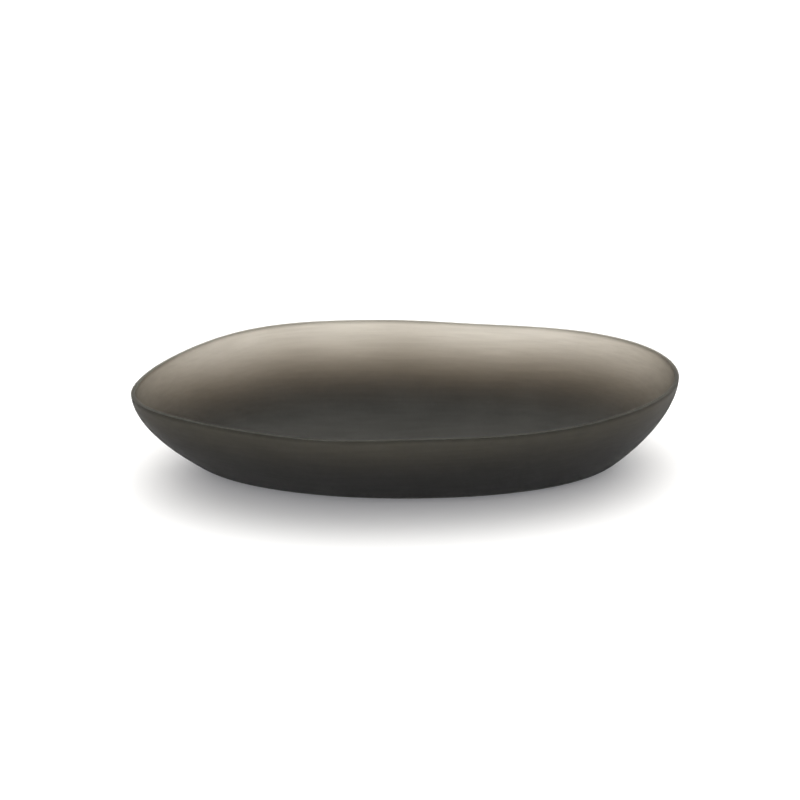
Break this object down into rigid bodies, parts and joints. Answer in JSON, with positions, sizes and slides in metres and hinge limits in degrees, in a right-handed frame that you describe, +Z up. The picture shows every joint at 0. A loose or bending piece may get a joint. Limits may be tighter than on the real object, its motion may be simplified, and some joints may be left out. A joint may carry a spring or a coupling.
{
  "type": "pebble dish",
  "caption": "Shallow pebble-shaped dish in smoky frosted resin, with a thin wavy lip and a flat underside.",
  "frame": {"origin": "middle of the overall box, at the height of the flat underside", "axes": "+Z up, out of the dish's hollow; +X along its longest extent; +Y across it"},
  "size_m": [0.15, 0.106, 0.0257],
  "materials": {
    "smoky_frosted_resin": "fine matt frosted, translucent smoke grey that turns warm where it is thin"
  },
  "bodies": {
    "root": {"dish": "smoky_frosted_resin"}
  },
  "joints": []
}
